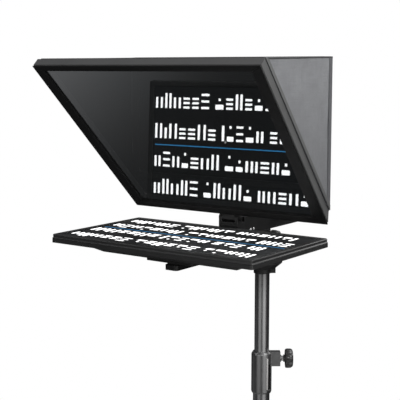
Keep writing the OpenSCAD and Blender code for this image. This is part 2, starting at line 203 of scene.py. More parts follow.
def finish(name, colour, rough=0.45, metal=0.0, vary=0.12, patch=9, rough_vary=0.10, grain=0.15,
           grain_size=900, grain_depth=0.00004, edge=0.0005, wear=0.0, wear_colour=None, brushed=None,
           specular=0.5, coat=0.0, coat_rough=0.2, dust=0.0, top=None):
    """A hard finish: patches of tone and gloss, a fine grain, softened edges and wear on them, and where top
    is given, painted shade towards the upper end.
    """
    t = material(name)
    where = t.coords()
    cloud = t.noise(where, patch, 4, 0.6)
    fine_where = t.coords(stretch=brushed) if brushed else where
    fine = t.noise(fine_where, grain_size, 2, 0.6)
    tone = t.span(cloud, *MID_TONES)
    colour_out = t.mix(tone, rgb(colour, 1 - vary), rgb(colour, 1 + vary))
    gloss = t.span(cloud, *MID_TONES, rough - rough_vary / 2, rough + rough_vary / 2)
    fine_gloss = t.span(fine, *MID_TONES, -rough_vary / 3, rough_vary / 3)
    rough_out = t.maths("ADD", gloss, fine_gloss, clamp=True)
    rounded = None
    if edge:
        bevel = t.add("Bevel", samples=4)
        bevel.inputs["Radius"].default_value = edge
        rounded = bevel.outputs[0]
    if wear and edge:
        dot = t.add("VectorMath", operation="DOT_PRODUCT")
        t.put(dot.inputs[0], rounded)
        t.put(dot.inputs[1], t.add("NewGeometry").outputs["True Normal"])
        on_edge = t.span(dot.outputs["Value"], 0.997, 0.90)
        scratch = t.span(t.noise(where, 160, 3, 0.7), 0.45, 0.62)
        mask = t.maths("MULTIPLY", t.maths("MULTIPLY", on_edge, scratch), wear)
        colour_out = t.mix(mask, colour_out, rgb(wear_colour))
    if dust:
        facing = t.height_of(t.add("NewGeometry").outputs["Normal"])
        speckle = t.span(t.noise(where, 55, 5, 0.7), 0.42, 0.75)
        layer = t.maths("MULTIPLY", t.span(facing, 0.5, 1.0), speckle)
        layer = t.maths("MULTIPLY", layer, dust)
        colour_out = t.mix(layer, colour_out, (0.32, 0.31, 0.30, 1))
        rough_out = t.maths("ADD", rough_out, t.maths("MULTIPLY", layer, 0.4), clamp=True)
    if top:  # painted shade: darker towards the upper end, where the head shades the tube
        colour_out = t.mix(t.span(t.height_of(where), *top), colour_out, rgb(colour, 0.25))
    t.surface(Base_Color=colour_out, Roughness=rough_out, Metallic=metal, Specular_IOR_Level=specular,
              Normal=t.bump(fine, grain, grain_depth, rounded))
    if coat:
        t.surface(Coat_Weight=coat, Coat_Roughness=coat_rough)
    return t.owner


FINISHES = {
    # tube_black's top entry paints shade: the tube darker towards its upper end, under the head
    "tube_black": dict(colour=grey(171), rough=0.32, metal=1.0, vary=0.05, patch=7, rough_vary=0.03,
                       grain=0.02, grain_size=300, grain_depth=0.000004, brushed=(1, 1, 0.02),
                       top=(0.955, 1.045, 0.0, 0.85)),
    "cast_black": dict(colour=grey(34), rough=0.52, vary=0.15, patch=30, grain=0.55, grain_size=1100,
                       grain_depth=0.00012, edge=0.0012, wear=0.4, wear_colour=grey(85), dust=0.15),
    "collar_grey": dict(colour=grey(150), rough=0.35, metal=0.95, vary=0.07, patch=36, grain=0.35,
                        grain_size=1300, grain_depth=0.00006, edge=0.0010, wear=0.5,
                        wear_colour=grey(190)),
    "knob_black": dict(colour=grey(60), rough=0.27, specular=0.9, vary=0.10, patch=40, grain=0.45,
                       grain_size=1600, grain_depth=0.00008, edge=0.0008, wear=0.35,
                       wear_colour=grey(90)),
    "rubber_black": dict(colour=grey(30), rough=0.78, specular=0.3, vary=0.18, patch=50, grain=0.5,
                         grain_depth=0.00015, edge=0.0010, dust=0.35),
    "nylon_white": dict(colour=grey(222, 0.02), rough=0.48, vary=0.05, patch=40, grain=0.2),
    "zinc_steel": dict(colour=grey(190), rough=0.30, metal=1.0, vary=0.08, patch=80, grain=0.2,
                       grain_size=500, brushed=(1, 1, 0.1)),
    "screw_bright": dict(colour=grey(235), rough=0.22, metal=1.0, vary=0.05, patch=200, grain=0.1,
                         edge=0.0002),
    "pin_black": dict(colour=grey(22), rough=0.42, metal=0.4, vary=0.1, patch=60, grain=0.2,
                      edge=0.0003, wear=0.2, wear_colour=grey(80)),
    "plate_black": dict(colour=grey(19), rough=0.50, patch=22, grain=0.5, grain_size=1200,
                        grain_depth=0.00010, edge=0.0008, wear=0.55, wear_colour=grey(105), dust=0.12),
    "monitor_black": dict(colour=grey(46), rough=0.40, coat=0.3, coat_rough=0.24, vary=0.08, patch=18,
                          grain=0.40, grain_size=1500, grain_depth=0.00006, edge=0.0009, wear=0.15,
                          wear_colour=grey(110), dust=0.06),
    "diffuser_white": dict(colour=grey(225), rough=0.55, vary=0.03, edge=0),
    "board_green": dict(colour=(0.010, 0.075, 0.030), rough=0.40, vary=0.35, patch=260, edge=0.0003),
    "board_tan": dict(colour=(0.24, 0.16, 0.06), rough=0.50, vary=0.25, patch=220, edge=0.0003),
    "key_grey": dict(colour=grey(96), rough=0.42, vary=0.06, patch=90, grain=0.3, edge=0.0006),
    "frame_black": dict(colour=grey(104), rough=0.50, specular=0.3, metal=0.1, vary=0.08, patch=12,
                        grain=0.30, grain_size=700, grain_depth=0.00006, edge=0.0007, wear=0.45,
                        wear_colour=grey(120)),
    "bezel_black": dict(colour=grey(21), rough=0.50, specular=0.22, vary=0.15, patch=60, grain=0.55,
                        grain_size=800, grain_depth=0.00012, edge=0.0008, wear=0.35,
                        wear_colour=grey(60)),
    "strip_black": dict(colour=grey(98), rough=0.50, vary=0.10, patch=20, grain=0.3, edge=0.0006,
                        wear=0.3, wear_colour=grey(110)),
    "lining_black": dict(colour=grey(20), rough=0.85, specular=0.12, patch=14, grain=0.35,
                         grain_size=420, grain_depth=0.0003, edge=0),
    "piping": dict(colour=grey(70), rough=0.7, vary=0.15, patch=60, grain=0.6, grain_depth=0.0002,
                   edge=0),
}
M = {name: finish(name, **values) for name, values in FINISHES.items()}


def weave(name, colour, pitch, mottle=0.10, sheen=0.15, low=None):
    """Plain woven cloth on UVs in metres: crossed threads of slightly different tone, soft mottling, and
    where low is given, painted shade towards the bottom.
    """
    rough, thread_depth, heather = 0.85, 0.0003, 0.10
    t = material(name)
    uv = t.add("UVMap").outputs[0]
    parts = t.add("SeparateXYZ")
    t.put(parts.inputs[0], uv)
    wu, wv = (t.maths("SINE", t.maths("MULTIPLY", parts.outputs[i], 2 * pi / pitch)) for i in (0, 1))
    cross = t.maths("MULTIPLY", wu, wv)
    half_u, half_v = (t.maths("MULTIPLY", t.maths("ABSOLUTE", w), 0.5) for w in (wu, wv))
    thread = t.maths("ADD", half_u, half_v)
    height = t.maths("ADD", thread, t.maths("MULTIPLY", cross, 0.5))
    narrow, lengthwise = 900, 14
    scales = ((narrow, lengthwise, 1), (lengthwise, narrow, 1))
    streaks = [t.noise(t.stretched(uv, scale), 1, 2) for scale in scales]
    threads = t.maths("ADD", *streaks)
    cloud = t.noise(uv, 26, 5, 0.65)
    blotch = t.noise(uv, 6, 3, 0.6)
    thread_tone = t.span(threads, 0.7, 1.3, 1 - heather, 1 + heather)
    soft_tone = t.maths("ADD", t.span(cloud, *MID_TONES, -mottle, mottle),
                        t.span(blotch, *MID_TONES, -mottle / 2, mottle / 2))
    tone = t.maths("ADD", thread_tone, soft_tone)
    grey_out = t.add("CombineColor")
    for i in range(3):
        t.put(grey_out.inputs[i], tone)
    colour_out = t.mix(1.0, rgb(colour), grey_out.outputs[0], "MULTIPLY")
    if low:  # painted shade: darker towards the bottom, where less light falls on the cloth
        bottom, lit_height, amount = low
        painted_shade = t.span(t.height_of(t.coords()), bottom, lit_height, amount, 0.0)
        colour_out = t.mix(painted_shade, colour_out, rgb(colour, 0.45))
    soft = t.bump(cloud, 0.35, 0.0012)
    t.surface(Base_Color=colour_out, Roughness=t.span(cloud, *MID_TONES, rough - 0.05, rough + 0.05),
              Normal=t.bump(height, 0.5, thread_depth, soft), Specular_IOR_Level=0.25,
              Sheen_Weight=sheen, Sheen_Roughness=0.45)
    return t.owner


# low paints shade on the grey cloth: darker towards the bottom of the hood
M["fabric_grey"] = weave("fabric_grey", (0.262, 0.266, 0.277), 0.0011, low=(1.20, 1.48, 0.50))
M["fabric_black"] = weave("fabric_black", (0.012, 0.012, 0.013), 0.0009, mottle=0.15, sheen=0.05)
M["binding_grey"] = weave("binding_grey", (0.120, 0.122, 0.130), 0.0007, mottle=0.08)


def glass_mirror():
    """The coated face: a partly transparent mirror with a trace of smear."""
    t = material("splitter_glass")
    where = t.coords()
    film = t.span(t.noise(where, 3.5, 3), *MID_TONES)
    t.surface(Base_Color=t.mix(film, (0.90, 0.93, 0.95, 1), (0.93, 0.94, 0.95, 1)),
              Roughness=t.span(t.noise(where, 45, 5, 0.7), 0.35, 0.8, 0.004, 0.014),
              Metallic=1.0, Alpha=0.46)
    return t.owner


def glass_clear():
    """The glass's edges and rear face."""
    t = material("splitter_edge")
    where = t.coords()
    tint = t.mix(t.noise(where, 20, 3), (0.006, 0.012, 0.010, 1), (0.010, 0.016, 0.014, 1))
    t.surface(Base_Color=tint, Roughness=t.span(t.noise(where, 60, 4), *MID_TONES, 0.02, 0.06),
              Alpha=0.45, Specular_IOR_Level=0.0)
    return t.owner


def glow(name, colour, power, speck=0.06):
    """Light from the display, a little uneven as a real panel's backlight is."""
    t = material(name)
    where = t.coords()
    unlit = t.mix(t.noise(where, 30, 2), (0.01, 0.01, 0.01, 1), (0.014, 0.014, 0.015, 1))
    uneven = t.span(t.noise(where, 5, 3), *MID_TONES)
    t.surface(Base_Color=unlit, Roughness=t.span(t.noise(where, 700, 2), *MID_TONES, 0.25, 0.33),
              Emission_Color=t.mix(uneven, rgb(colour, 1 - speck), rgb(colour)),
              Emission_Strength=power)
    return t.owner


def screen():
    """The display where it is black: a matt coat and a faint leak of backlight."""
    t = material("screen_black")
    where = t.coords()
    dark = t.mix(t.noise(where, 12, 3), (0.0060, 0.0062, 0.0068, 1), (0.0085, 0.0085, 0.0090, 1))
    matt = t.span(t.noise(where, 1800, 2), *MID_TONES, 0.34, 0.40)
    smears = t.span(t.noise(where, 16, 5, 0.7), 0.4, 0.8, 0.0, 0.05)
    uneven = t.span(t.noise(where, 4, 3), *MID_TONES)
    t.surface(Base_Color=dark, Roughness=t.maths("ADD", matt, smears), Specular_IOR_Level=0.22,
              Normal=t.bump(t.noise(where, 2500, 2), 0.08, 0.00002), Emission_Strength=0.014,
              Emission_Color=t.mix(uneven, (0.85, 0.9, 1, 1), (1, 1, 1, 1)))
    return t.owner


M["splitter_glass"] = glass_mirror()
M["splitter_edge"] = glass_clear()
M["script_white"] = glow("script_white", (1, 1, 1), 2.35, 0.02)
M["script_blue"] = glow("script_blue", (0.020, 0.150, 0.330), 2.2)
M["screen_black"] = screen()

# ---------------------------------------------------------------- CAD nodes
slot_of = {}
for name, o in nodes.items():
    for m in o.data.materials:
        if m:
            slot_of[name] = m.name.split(".")[0]
for name, o in nodes.items():
    key = slot_of.get(name)
    if key in M:
        for material_slot in o.material_slots:
            material_slot.material = M[key]


# ---------------------------------------------------------------- mesh helpers
def link(name, mesh, *materials):
    o = bpy.data.objects.new(name, mesh)
    scene.collection.objects.link(o)
    for m in materials:
        mesh.materials.append(m)
    return o


def fill(mesh, bm):
    """The mesh takes the shape, with its faces turned outwards."""
    bmesh.ops.recalc_face_normals(bm, faces=bm.faces[:])
    bm.to_mesh(mesh)
    bm.free()


def from_bm(name, bm, *materials, smooth=40):
    mesh = bpy.data.meshes.new(name)
    fill(mesh, bm)
    o = link(name, mesh, *materials)
    shade(o, smooth)
    return o


def shade(o, angle):
    """Smooth faces, with the edges sharper than the angle kept sharp."""
    for p in o.data.polygons:
        p.use_smooth = True
    bm = bmesh.new()
    bm.from_mesh(o.data)
    for e in bm.edges:
        e.smooth = len(e.link_faces) != 2 or e.calc_face_angle(0) < radians(angle)
    bm.to_mesh(o.data)
    bm.free()


def rounded_rectangle(x0, x1, y0, y1, r, n):
    """Points round a rectangle with rounded corners, counter-clockwise."""
    corners = ((x1 - r, y1 - r, 0), (x0 + r, y1 - r, 90), (x0 + r, y0 + r, 180), (x1 - r, y0 + r, 270))
    out = []
    for cx, cy, start in corners:
        for i in range(n + 1):
            a = radians(start + 90 * i / n)
            out.append((cx + r * cos(a), cy + r * sin(a)))
    return out


def bridge(bm, rings, closed=False):
    """Faces between rings of the same number of vertices."""
    pairs = list(zip(rings, rings[1:])) + ([(rings[-1], rings[0])] if closed else [])
    for a, b in pairs:
        for i in range(len(a)):
            j = (i + 1) % len(a)
            bm.faces.new((a[i], a[j], b[j], b[i]))


def cap(bm, rings):
    bm.faces.new(rings[0][::-1])
    bm.faces.new(rings[-1])


def loft(bm, rings):
    """Rings bridged in order, with a face on each end."""
    bridge(bm, rings)
    cap(bm, rings)


def across(axis):
    """The axis at unit length, and two directions square to it."""
    ax = Vector(axis).normalized()
    u = ax.orthogonal().normalized()
    return ax, u, ax.cross(u)


def spun(bm, centre, axes, profile, seg, shape=None):
    """A loft about an axis from radius and distance along it, mm. shape can change a ring's radius
    with the angle and whatever else the profile holds."""
    ax, u, v = axes
    rings = []
    for r, h, *more in profile:
        ring = []
        for i in range(seg):
            a = 2 * pi * i / seg
            q = shape(r, a, *more) if shape else r
            ring.append(bm.verts.new(Vector(centre) + ax * h / 1000 + (u * cos(a) + v * sin(a)) * q / 1000))
        rings.append(ring)
    loft(bm, rings)


def turned(name, centre, axis, profile, material, seg=40, smooth=40):
    """A turned piece: pairs of radius and distance along the axis, mm."""
    bm = bmesh.new()
    spun(bm, centre, across(axis), profile, seg)
    return from_bm(name, bm, material, smooth=smooth)


def joins(o, node):
    """The piece moves with a CAD node's body."""
    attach(o, nodes[node]["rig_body"])
    return o


def stands_for(o, node):
    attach(o, nodes[node]["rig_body"])
    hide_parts(node)
    return o


def refined(node, width, longer=4.0, material=None):
    """The CAD node's own shape with its sharp edges rounded, where they are longer times the width."""
    bm = bmesh.new()
    bm.from_mesh(nodes[node].data)
    bmesh.ops.remove_doubles(bm, verts=bm.verts[:], dist=2e-6)
    bmesh.ops.dissolve_limit(bm, angle_limit=radians(0.4), verts=bm.verts[:], edges=bm.edges[:])
    chosen = [e for e in bm.edges if len(e.link_faces) == 2 and e.calc_length() > longer * width
              and e.calc_face_angle(0) > radians(35)]
    bmesh.ops.bevel(bm, geom=chosen, offset=width, segments=2, profile=0.5, affect="EDGES",
                    clamp_overlap=True, harden_normals=False)
    mesh = bpy.data.meshes.new(node + "_fine")
    bm.to_mesh(mesh)
    bm.free()
    o = link(node + "_fine", mesh, material or M[slot_of[node]])
    shade(o, 32)
    o.modifiers.new("normals", "WEIGHTED_NORMAL").keep_sharp = True
    return stands_for(o, node)


EDGE_WIDTHS = {
    "frame_bezel": 0.0009, "frame_rails": 0.0008, "edge_strips": 0.0003, "monitor_cover": 0.0008,
    "lower_arm": 0.0006, "collar": 0.0009, "vesa_plate": 0.0006, "riser": 0.0007,
    "hood_bracket": 0.0007, "camera_beam": 0.0007, "camera_carriage": 0.0006,
    "camera_platform": 0.0007, "tilt_bracket": 0.0006, "rear_frame": 0.0008,
}
for node, width in EDGE_WIDTHS.items():
    refined(node, width, material=M["cast_black"] if node == "rear_frame" else None)


# ---------------------------------------------------------------- monitor
def monitor_bezel():
    """Front frame: rolled top edge, flat band, a lip above the joint to the cover, chamfered window."""
    bm = bmesh.new()
    w, d = MONITOR_SIZE
    window_w, window_d = 477, 268
    outside = ((5, 3, -9.8), (1.8, 4.2, -9.8), (0.3, 4.9, -9.1), (0, 5, -8.8), (0.3, 5, -8.4),
               (2.8, 4.3, -7.1), (3.2, 4.0, -6.7), (3.2, 4.0, -4.5), (2.6, 4.2, -3.0),
               (2.6, 4.2, -2.2), (3.4, 4.1, -1.0), (4.8, 3.9, -0.25), (6.6, 3.6, 0))
    window = ((2.6, 1.6, 0), (1.4, 1.2, -0.12), (0.3, 0.6, -1.1), (0, 0.5, -2.0))
    levels = [(w - less, d - less, r, z) for less, r, z in outside]
    levels += [(window_w + more, window_d + more, r, z) for more, r, z in window]
    levels.append((w - 5, d - 5, 3, -2.0))
    rings = []
    for wide, deep, r, z in levels:
        y0, y1 = -d / 2 - deep / 2, -d / 2 + deep / 2
        points = rounded_rectangle(-wide / 2, wide / 2, y0, y1, r, 6)
        rings.append([bm.verts.new(at(x, y, z)) for x, y in points])
    bridge(bm, rings, closed=True)
    stands_for(from_bm("monitor_bezel_frame", bm, M["monitor_black"], smooth=35), "monitor_bezel")


monitor_bezel()


def button_screws(node, places, axis, r, head, shank_r, shank, material, mirrored=False):
    """Domed socket screws: shank, head with rolled edge, hexagon socket. Heights run from each place."""
    bm = bmesh.new()
    axes = across(axis)
    profile = [(shank_r * 0.8, -shank), (shank_r, 0.3 - shank), (shank_r, 0), (r * 0.97, 0),
               (r, head * 0.12), (r * 0.98, head * 0.35), (r * 0.88, head * 0.68),
               (r * 0.72, head * 0.90), (r * 0.58, head * 0.99), (r * 0.42, head, True),
               (r * 0.42, head * 0.4, True)]

    def socket(q, a, hexagon=False):
        return q / max(cos(a % (pi / 3) - pi / 6), 0.5) if hexagon else q

    for place in places:
        spun(bm, place, axes, profile, 36, socket)
    if mirrored:
        for q in bmesh.ops.duplicate(bm, geom=bm.verts[:] + bm.edges[:] + bm.faces[:])["geom"]:
            if isinstance(q, bmesh.types.BMVert):
                q.co.x = -q.co.x
    stands_for(from_bm(node + "_heads", bm, material, smooth=38), node)


PIN_PROFILE = [(5.6, 0), (6.4, 0.5), (6.5, 1.0), (6.5, 2.3), (4, 2.35),
               (4, 53.65), (6.5, 53.7), (6.5, 55.0), (6.4, 55.5), (5.6, 56.0)]
pin = turned("hinge_pin_black", at(-28, 12, 20), (1, 0, 0), PIN_PROFILE, M["pin_black"])
stands_for(pin, "hinge_pin")
BEAM_SCREWS = [at(25.55, y, -10) for y in (56, 68)]
VESA_SCREWS = [at(x, y, -47.1) for x in (-50, 50) for y in (-198, -98)]
COVER_SCREWS = [at(x, y, -18.5) for x in (-238, 238) for y in (-276, -148, -20)]
DOWN = (0, 0, -1)
button_screws("beam_screws", BEAM_SCREWS, (1, 0, 0), 3.2, 1.65, 1.6, 2.9, M["screw_bright"], mirrored=True)
button_screws("vesa_screws", VESA_SCREWS, DOWN, 4.0, 2.85, 2.0, 11.9, M["zinc_steel"])
button_screws("cover_screws", COVER_SCREWS, DOWN, 3.0, 1.05, 1.5, 4.8, M["zinc_steel"])


def block(bm, x0, x1, y0, y1, z0, z1):
    """A box with its lower edges chamfered."""
    m = 0.3
    levels = ((m, z0), (0, z0 + m), (0, z1))
    loft(bm, [[bm.verts.new(at(x, y, z)) for x, y in
               ((x0 + i, y0 + i), (x1 - i, y0 + i), (x1 - i, y1 - i), (x0 + i, y1 - i))]
              for i, z in levels])


def boards():
    """Circuit boards with their parts: packages, connectors, capacitors."""
    rear, front, low, high = -190, -106, -26, -24.4
    main_chips = ((-30, -4, -165, -139, -29), (10, 26, -175, -160, -28), (8, 36, -132, -120, -30))
    power_chips = ((-112, -90, -165, -130, -33),)
    for node, x0, x1, chips, packages in (("main_board", -60, 45, main_chips, "rubber_black"),
                                          ("power_board", -150, -80, power_chips, "key_grey")):
        bm = bmesh.new()
        block(bm, x0, x1, rear, front, low, high)
        stands_for(from_bm(node + "_plate", bm, M[slot_of[node]]), node)
        bm = bmesh.new()
        pick = random.Random(len(node))
        for cx0, cx1, cy0, cy1, depth in chips:
            block(bm, cx0, cx1, cy0, cy1, depth, low)
        for _ in range(46):
            x, y = pick.uniform(x0 + 6, x1 - 8), pick.uniform(-186, -112)
            if all(not (c[0] - 4 < x < c[1] + 1 and c[2] - 3 < y < c[3] + 1) for c in chips):
                w, d = pick.choice(((1.6, 0.8), (0.8, 1.6), (2.0, 1.2), (3.2, 2.4)))
                block(bm, x, x + w, y, y + d, low - 0.8, low)
        joins(from_bm(node + "_parts", bm, M[packages], smooth=20), node)
        bm = bmesh.new()
        for x in (x0 + 4, x1 - 4):
            for y in (rear + 4, front - 4):
                ring = [(x + 2.5 * cos(pi * i / 3), y + 2.5 * sin(pi * i / 3)) for i in range(6)]
                loft(bm, [[bm.verts.new(at(px, py, z)) for px, py in ring] for z in (high, -13.1)])
        joins(from_bm(node + "_posts", bm, M["zinc_steel"], smooth=20), node)
    can = [(4.6, 0.25), (5.2, 0.0), (5.8, 0.2), (6, 0.8), (6, 6.4), (5.6, 6.8), (6, 7.2), (6, 8.0)]
    for k, y in enumerate((-170, -148, -126)):
        name = "capacitor_%d" % (k + 1)
        joins(turned(name, at(-132, y, -34), (0, 0, 1), can, M["key_grey"], seg=28), "power_board")


boards()

SHORT_EDGES = {
    "leg_hub": (0.0009, 1.4), "head_base": (0.0008, 1.4), "pan_clevis": (0.0008, 1.4),
    "leg_lock_ring": (0.0008, 1.4), "front_foot": (0.0010, 1.2), "left_foot": (0.0010, 1.2),
    "right_foot": (0.0010, 1.2), "hinge_lugs": (0.0006, 1.4), "platform_pads": (0.0004, 1.4),
    "port_block": (0.0004, 1.5), "collar_bush": (0.0003, 1.5),
}
for node, (width, longer) in SHORT_EDGES.items():
    refined(node, width, longer)


# ---------------------------------------------------------------- floor, light
def lay_floor():
    bm = bmesh.new()
    bmesh.ops.create_circle(bm, cap_ends=True, radius=0.66, segments=128)
    bmesh.ops.translate(bm, verts=bm.verts, vec=(0, 0, -0.0005))
    t = material("floor_pale")
    pale = t.mix(t.noise(t.coords(), 6, 4), (0.60, 0.60, 0.60, 1), (0.64, 0.64, 0.64, 1))
    t.surface(Base_Color=pale, Roughness=t.span(t.noise(t.coords(), 30, 4), *MID_TONES, 0.75, 0.85),
              Specular_IOR_Level=0.1)
    from_bm("floor", bm, t.owner)


def light_world():
    """White to the camera. Towards all else, a soft light that grows from the horizon upwards."""
    world = bpy.data.worlds.new("world")
    scene.world = world
    t = Tree(world)
    t.nodes.clear()
    seen, lit = t.add("Background"), t.add("Background")
    choose, out = t.add("MixShader"), t.add("OutputWorld")
    seen.inputs[0].default_value = (1, 1, 1, 1)
    direction = t.coords("Generated")
    overhead = t.span(t.height_of(direction), 0.17, 0.85, 0.0313, 0.34)
    # a faint bounce from low on the left, which the beam splitter picks up towards its upper left corner
    toward = t.add("VectorMath", operation="DOT_PRODUCT")
    toward.inputs[1].default_value = Vector((-0.80, -0.25, -0.55)).normalized()
    t.put(toward.inputs[0], direction)
    near = t.span(toward.outputs["Value"], 0.900, 0.956)
    t.put(lit.inputs[1], t.maths("MULTIPLY_ADD", t.maths("POWER", near, 2.2), 0.165, overhead))
    lit.inputs[0].default_value = (0.97, 0.98, 1, 1)
    t.put(choose.inputs[0], t.add("LightPath").outputs["Is Camera Ray"])
    t.put(choose.inputs[1], lit.outputs[0])
    t.put(choose.inputs[2], seen.outputs[0])
    t.put(out.inputs[0], choose.outputs[0])


def softbox(name, angle, distance, height, size, power, aim=0.95):
    """A soft light, angle degrees to the right of straight ahead of the object's front, aimed at a height."""
    a = radians(angle)
    light = bpy.data.lights.new(name, "AREA")
    light.shape = "RECTANGLE"
    light.size, light.size_y = size
    light.energy = power
    o = bpy.data.objects.new(name, light)
    o.location = (distance * sin(a), -distance * cos(a), height)
    o.rotation_euler = (Vector((0, 0, aim)) - o.location).to_track_quat("-Z", "Y").to_euler()
    o.visible_camera = False
    scene.collection.objects.link(o)


lay_floor()
light_world()
softbox("light_left", 1.5, 3.0, 1.20, (2.25, 3.4), 15)
softbox("light_right", 71, 3.0, 1.20, (2.6, 3.4), 29)
softbox("light_side", 98, 1.0, 2.2, (0.8, 0.8), 8, 1.38)
softbox("light_rim", 160, 2.6, 2.05, (1.6, 1.2), 12, 1.35)
softbox("light_top", 30, 0.5, 3.6, (2.2, 2.2), 1.5)
softbox("light_edge", -39, 2.4, 2.25, (0.5, 0.5), 2.5, 1.15)
softbox("light_front", 35.6, 2.2, 1.75, (0.5, 0.5), 5, 0.82)


# ---------------------------------------------------------------- beam splitter
def glass():
    """A trapezoid plate with small chamfers: the coated face in front, clear edges and back."""
    bm = bmesh.new()
    lip = 5.9  # how far the glass reaches past the frame's window
    (low_s, low_x), (high_s, high_x) = (20.2, 227.8), (435.85, 257.8)  # up the slope, half width
    lean = (high_x - low_x) / (high_s - low_s)
    s0, s1 = low_s - lip, high_s + lip
    x0, x1 = low_x - lip * lean + lip, high_x + lip * lean + lip
    rings = []
    for t, inset in ((4.42, 0.5), (4.75, 0.1), (7.05, 0.1), (7.38, 0.5)):
        corners = ((-x0 + inset, s0 + inset), (x0 - inset, s0 + inset),
                   (x1 - inset, s1 - inset), (-x1 + inset, s1 - inset))
        rings.append([bm.verts.new(on_slope(x, s, t)) for x, s in corners])
    bridge(bm, rings)
    bm.faces.new(rings[-1])
    for face in bm.faces:
        face.material_index = 1
    bm.faces.new(rings[0]).material_index = 0
    mesh = bpy.data.meshes.new("splitter_plate")
    fill(mesh, bm)
    o = link("splitter_plate", mesh, M["splitter_glass"], M["splitter_edge"])
    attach(o, "glass_frame")
    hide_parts("beam_splitter")


glass()


# ---------------------------------------------------------------- script on the display
def bar(bm, x0, x1, y0, y1, r):
    """A thin rounded bar, just proud of the display."""
    z, thick = -2.04, 0.03
    r = min(r, (x1 - x0) / 2.01, (y1 - y0) / 2.01)
    points = rounded_rectangle(x0, x1, y0, y1, r, 4)
    loft(bm, [[bm.verts.new(at(x, y, level)) for x, y in points] for level in (z - thick, z)])


def character(bm, x, y, w, h, kind):
    """A stand-in for one character, in plain rounded bars."""
    stroke, shelf = 6.4, 5.2
    if kind == "twin":  # two upright bars
        bars = [(x, x + stroke, y, y + h, 1.6), (x + w - stroke, x + w, y, y + h, 1.6)]
    elif kind == "stack":  # three level bars
        feet = [y + (h - shelf) * k / 2 for k in range(3)]
        bars = [(x, x + w, foot, foot + shelf, 1.6) for foot in feet]
    elif kind == "low":  # a low block with a dot
        bars = [(x, x + w, y + h - 11, y + h, 2.2), (x + w / 2 - 3, x + w / 2 + 3, y, y + 6.5, 2.0)]
    else:
        bars = [(x, x + w, y, y + h, 2.2)]
    for sides in bars:
        bar(bm, *sides)


def script():
    """Four lines of bars in place of words. Their tops are away from the glass, to read upright in it."""
    left, gap, word_gap = -234.5, 7.0, 10
    pick = random.Random(11)
    bm = bmesh.new()
    for base, right in ((-231.5, 232), (-160.5, 226), (-93.8, 230), (-29.5, 216)):
        x = left
        while x < right - 14:
            for _ in range(pick.choice((2, 3, 5, 6, 7))):
                kind = pick.choice(("twin", "stack", "bar", "low", "twin", "stack"))
                w = 7.0 if kind == "bar" else pick.choice((18.5, 20.5, 22.5))
                if x + w > right:
                    break
                up = 35.0 if pick.random() < 0.3 else 25.5
                character(bm, x, base - up, w, up, kind)
                x += w + gap
            x += word_gap
    o = from_bm("script_lines", bm, M["script_white"], smooth=1)
    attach(o, "head")
    bm = bmesh.new()
    bar(bm, -234, 236, -146.3, -143.9, 0.8)
    o = from_bm("script_rule", bm, M["script_blue"])
    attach(o, "head")


script()

# ---------------------------------------------------------------- hood cloth
FAN = radians(4.48)  # how much each side spreads towards the front
HOOD_HALF, HOOD_PLANE = 258, -4  # half width, and depth, of the hood's open end
HOOD_Z, HOOD_REAR = 370.4, 375.0  # height of its top, in front and behind
RAIL_BACK = 22.8  # the rails' rear face, into the frame
HOOD_FOOT = (SLOPE_Z + sin(TILT) * ((SLOPE_Y + sin(TILT) * RAIL_BACK + 4.6) / cos(TILT))
             + cos(TILT) * RAIL_BACK)
HOOD_MATERIALS = (M["fabric_grey"], M["lining_black"], M["binding_grey"])
BLACK_CLOTH = (M["fabric_black"],) * 3
SIDES = ((1, "right"), (-1, "left"))


def on_side(sign, out, y, z):
    """On a side panel: out from its outer face, y along it from the rear plane, z up."""
    back = y - HOOD_PLANE
    return at(sign * (HOOD_HALF + out * cos(FAN) - back * sin(FAN)),
              HOOD_PLANE + out * sin(FAN) + back * cos(FAN), z)


def rail_y(z):
    """Depth of the rails' rear face at a height."""
    rise = z - SLOPE_Z - cos(TILT) * RAIL_BACK
    return SLOPE_Y + sin(TILT) * RAIL_BACK - cos(TILT) * rise / sin(TILT)


def lid_z(y):
    """Height of the hood's top, which rises to the rear."""
    return HOOD_REAR + (y - HOOD_PLANE) * (HOOD_REAR - HOOD_Z) / 292


def grid(rows, cols, spot):
    """Outer points, inner points and UVs of a sheet. spot gives both points, and the place in mm."""
    outer, inner, uvs = [], [], []
    for i in range(rows):
        line = [spot(i, j) for j in range(cols)]
        outer.append([p[0] for p in line])
        inner.append([p[1] for p in line])
        uvs += [(p[2] / 1000, p[3] / 1000) for p in line]
    return outer, inner, uvs


def cloth(name, sheet, outside, inside, edge):
    """A closed sheet from two grids of points of the same size, with UVs in metres."""
    outer, inner, uvs = sheet
    rows, cols = len(outer), len(outer[0])
    n = rows * cols
    faces, mats = [], []

    def quad(corners, m):
        faces.append(list(dict.fromkeys(corners)))
        mats.append(m)

    for i in range(rows - 1):
        for j in range(cols - 1):
            a = i * cols + j
            quad((a, a + 1, a + cols + 1, a + cols), 0)
            quad((n + a + cols, n + a + cols + 1, n + a + 1, n + a), 1)
    rim = list(range(cols)) + [i * cols + cols - 1 for i in range(1, rows)]
    rim += [(rows - 1) * cols + j for j in range(cols - 2, -1, -1)]
    rim += [i * cols for i in range(rows - 2, 0, -1)]
    for a, b in zip(rim, rim[1:] + rim[:1]):
        quad((b, a, n + a, n + b), 2)
    mesh = bpy.data.meshes.new(name)
    mesh.from_pydata([p for half in (outer, inner) for row in half for p in row], [], faces)
    layer = mesh.uv_layers.new(name="UVMap")
    for loop in mesh.loops:
        layer.data[loop.index].uv = uvs[loop.vertex_index % n]
    for p, m in zip(mesh.polygons, mats):
        p.material_index = m
    o = link(name, mesh, outside, inside, edge)
    bm = bmesh.new()
    bm.from_mesh(mesh)
    fill(mesh, bm)
    shade(o, 55)
    return o


